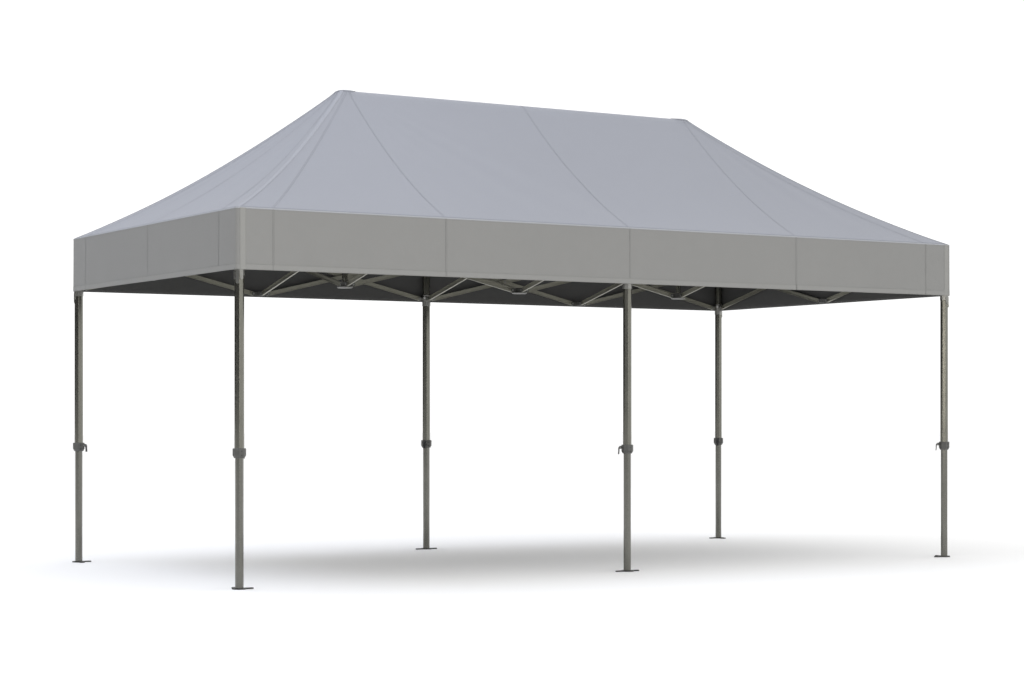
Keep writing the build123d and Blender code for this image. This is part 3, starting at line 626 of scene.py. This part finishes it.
uprights, cornerStrips = [], []
for side in range(4):
    sideSizes = ((c["halfLong"], tape["besideCorner"]), (c["halfShort"], tape["besideEndCorner"]))
    half, beside = sideSizes[side % 2]
    places = [beside - half, 0.0, half - beside] + ([-mastX, mastX] if side % 2 == 0 else [])
    uprights += [uprightStrip(side, at, tape["seamWidth"], tape["lift"]) for at in places]
    if side % 2 == 0:
        reach = half - c["cornerRadius"] - tape["cornerWidth"] / 2
        for at in (-reach, reach):
            cornerStrips.append(uprightStrip(side, at, tape["cornerWidth"], tape["lift"] * 1.2))
uprightSeams = stripMesh(uprights, "canopyUprightSeams", cloths["valanceTape"])
cornerBands = stripMesh(cornerStrips, "canopyCornerBands", cloths["cornerTape"])
print("stage 4: seams, hip bands and hem")

for piece in (roofSheet, slopeSeamTapes, hipBands, peakPatches):
    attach(piece, "frame")
    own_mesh(piece)
for piece in (valanceSheet, hemBand, uprightSeams, cornerBands, pipingHighlight):
    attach(piece, "frame")
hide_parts("canopy_roof")
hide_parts("canopy_valance")
print("stage 5: canopy tied to the frame")

# screws on the clamps: a slotted dome, its height h * (1 - s * s) over a disc of share s, less the slot
clampScrews = {
    "radius": 0.0042, "height": 0.0022, "slot": 0.0009, "slotDepth": 0.0007,
    "reach": 0.0392, "sunk": 0.0002, "spread": 0.013,
}
legPlaces = [np.mean(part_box(name), axis=0)[:2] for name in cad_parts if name.startswith("upper_leg")]
clampMiddle = float(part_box("leg_clamps")[0][2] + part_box("leg_clamps")[1][2]) / 2


def screwDome(x, y, z, bearing):
    # a grid of rings and spokes, standing on a clamp's flat that faces the bearing
    k = clampScrews
    share = np.linspace(0.02, 1, 9)[:, None]
    angle = np.linspace(0, 2 * np.pi, 33)[None, :]
    side, up = share * np.cos(angle), share * np.sin(angle)
    inSlot = np.abs(up) * k["radius"] < k["slot"]
    out = k["height"] * (1 - share ** 2) + 0 * angle - k["slotDepth"] * inSlot
    ax, ay = math.cos(bearing), math.sin(bearing)
    depth = k["reach"] + out - k["sunk"]
    px = x + ax * depth - ay * side * k["radius"]
    py = y + ay * depth + ax * side * k["radius"]
    pz = z + up * k["radius"] + 0 * px
    return px, py, pz, angle * k["radius"] + 0 * share, share + 0 * angle, k["radius"]


screwGrids = [
    screwDome(x, y, clampMiddle + rise, bearing)
    for x, y in legPlaces for bearing in (-math.pi / 2, math.pi / 2, 0.0, math.pi)
    for rise in (-clampScrews["spread"], clampScrews["spread"])
]
screws = stripMesh(screwGrids, "clampScrews", finishes["screws"])
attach(screws, "frame")
print("stage 6: screws on the clamps")

# stage, light and camera
floorLook = {"half": 90, "level": -0.0005, "shade": (0.995, 0.995, 0.995, 1)}
floorMesh = bpy.data.meshes.new("studioFloor")
floorCorners = [
    (floorLook["half"] * sx, floorLook["half"] * sy, floorLook["level"])
    for sx, sy in ((-1, -1), (1, -1), (1, 1), (-1, 1))
]
floorMesh.from_pydata(floorCorners, [], [(0, 1, 2, 3)])
floor = bpy.data.objects.new("studioFloor", floorMesh)
scene.collection.objects.link(floor)
floorMaterial, _, floorShader = newMaterial("paleFloor")
floorShader.inputs["Base Color"].default_value = floorLook["shade"]
floorShader.inputs["Roughness"].default_value = 0.9
floorShader.inputs["Specular IOR Level"].default_value = 0.1
floorMesh.materials.append(floorMaterial)

# a white studio, dimmed low down on its left, so that the legs' left flats turn dark
studio = {
    "strength": 1.14, "dim": 0.98, "towards": (-0.927, 0.375, 0.0), "from": 0.2, "to": 0.72,
    "lowUpTo": 0.3, "clearFrom": 0.8,
}
world = bpy.data.worlds.new("studioWorld")
world.use_nodes = True
sky = world.node_tree
outward = addNode(sky, "ShaderNodeTexCoord").outputs["Generated"]
direction = addNode(sky, "ShaderNodeSeparateXYZ", {0: outward})
towards = {0: outward, 1: studio["towards"]}
leftward = addNode(sky, "ShaderNodeVectorMath", towards, operation="DOT_PRODUCT").outputs["Value"]
leftRange = {0: leftward, 1: studio["from"], 2: studio["to"], 3: 0.0, 4: 1.0}
lowRange = {0: direction.outputs[2], 1: studio["lowUpTo"], 2: studio["clearFrom"], 3: 1.0, 4: 0.0}
onLeft = addNode(sky, "ShaderNodeMapRange", leftRange, interpolation_type="SMOOTHSTEP").outputs[0]
lowDown = addNode(sky, "ShaderNodeMapRange", lowRange, interpolation_type="SMOOTHSTEP").outputs[0]
dimmed = mathNode(sky, "MULTIPLY_ADD", mathNode(sky, "MULTIPLY", onLeft, lowDown), -studio["dim"], 1.0)
sky.nodes["Background"].inputs[0].default_value = (1.0, 1.0, 1.0, 1)
sky.links.new(mathNode(sky, "MULTIPLY", dimmed, studio["strength"]), sky.nodes["Background"].inputs[1])
scene.world = world

lamps = {
    "overhead": {"place": (-1.0, -3.0, 9.0), "size": 9.0, "power": 90.0, "colour": (1.0, 1.0, 1.0)},
    "leftHigh": {"place": (-5.5, 1.5, 9.5), "size": 5.0, "power": 195.0, "colour": (0.86, 0.94, 1.17)},
    "frontLeft": {"place": (-4.5, -9.5, 1.8), "size": 1.6, "power": 40.0, "colour": (1.06, 1.0, 0.9)},
}
lampAim = (0.0, 0.0, 2.0)
for lampName, lamp in lamps.items():
    data = bpy.data.lights.new(lampName, "AREA")
    data.energy, data.size, data.color = lamp["power"], lamp["size"], lamp["colour"]
    lampObject = bpy.data.objects.new(lampName, data)
    scene.collection.objects.link(lampObject)
    toMiddle = np.array(lampAim) - np.array(lamp["place"])
    lampObject.location = lamp["place"]
    tilt = math.acos(-toMiddle[2] / np.linalg.norm(toMiddle))
    lampObject.rotation_euler = (tilt, 0, math.atan2(toMiddle[1], toMiddle[0]) - math.pi / 2)

view = {
    "place": (-8.5768, -14.2784, 1.1196), "bearing": -0.555,
    "lens": 77.01, "shiftX": -0.03723, "shiftY": 0.06945,
}
cameraData = bpy.data.cameras.new("view")
cameraData.lens, cameraData.sensor_width = view["lens"], 36.0
cameraData.shift_x, cameraData.shift_y = view["shiftX"], view["shiftY"]
cameraData.clip_end = 400.0
camera = bpy.data.objects.new("view", cameraData)
scene.collection.objects.link(camera)
camera.location = view["place"]
camera.rotation_euler = (math.pi / 2, 0, view["bearing"])
scene.camera = camera
scene.view_settings.view_transform = "Standard"
print("stage 7: floor, light and camera")
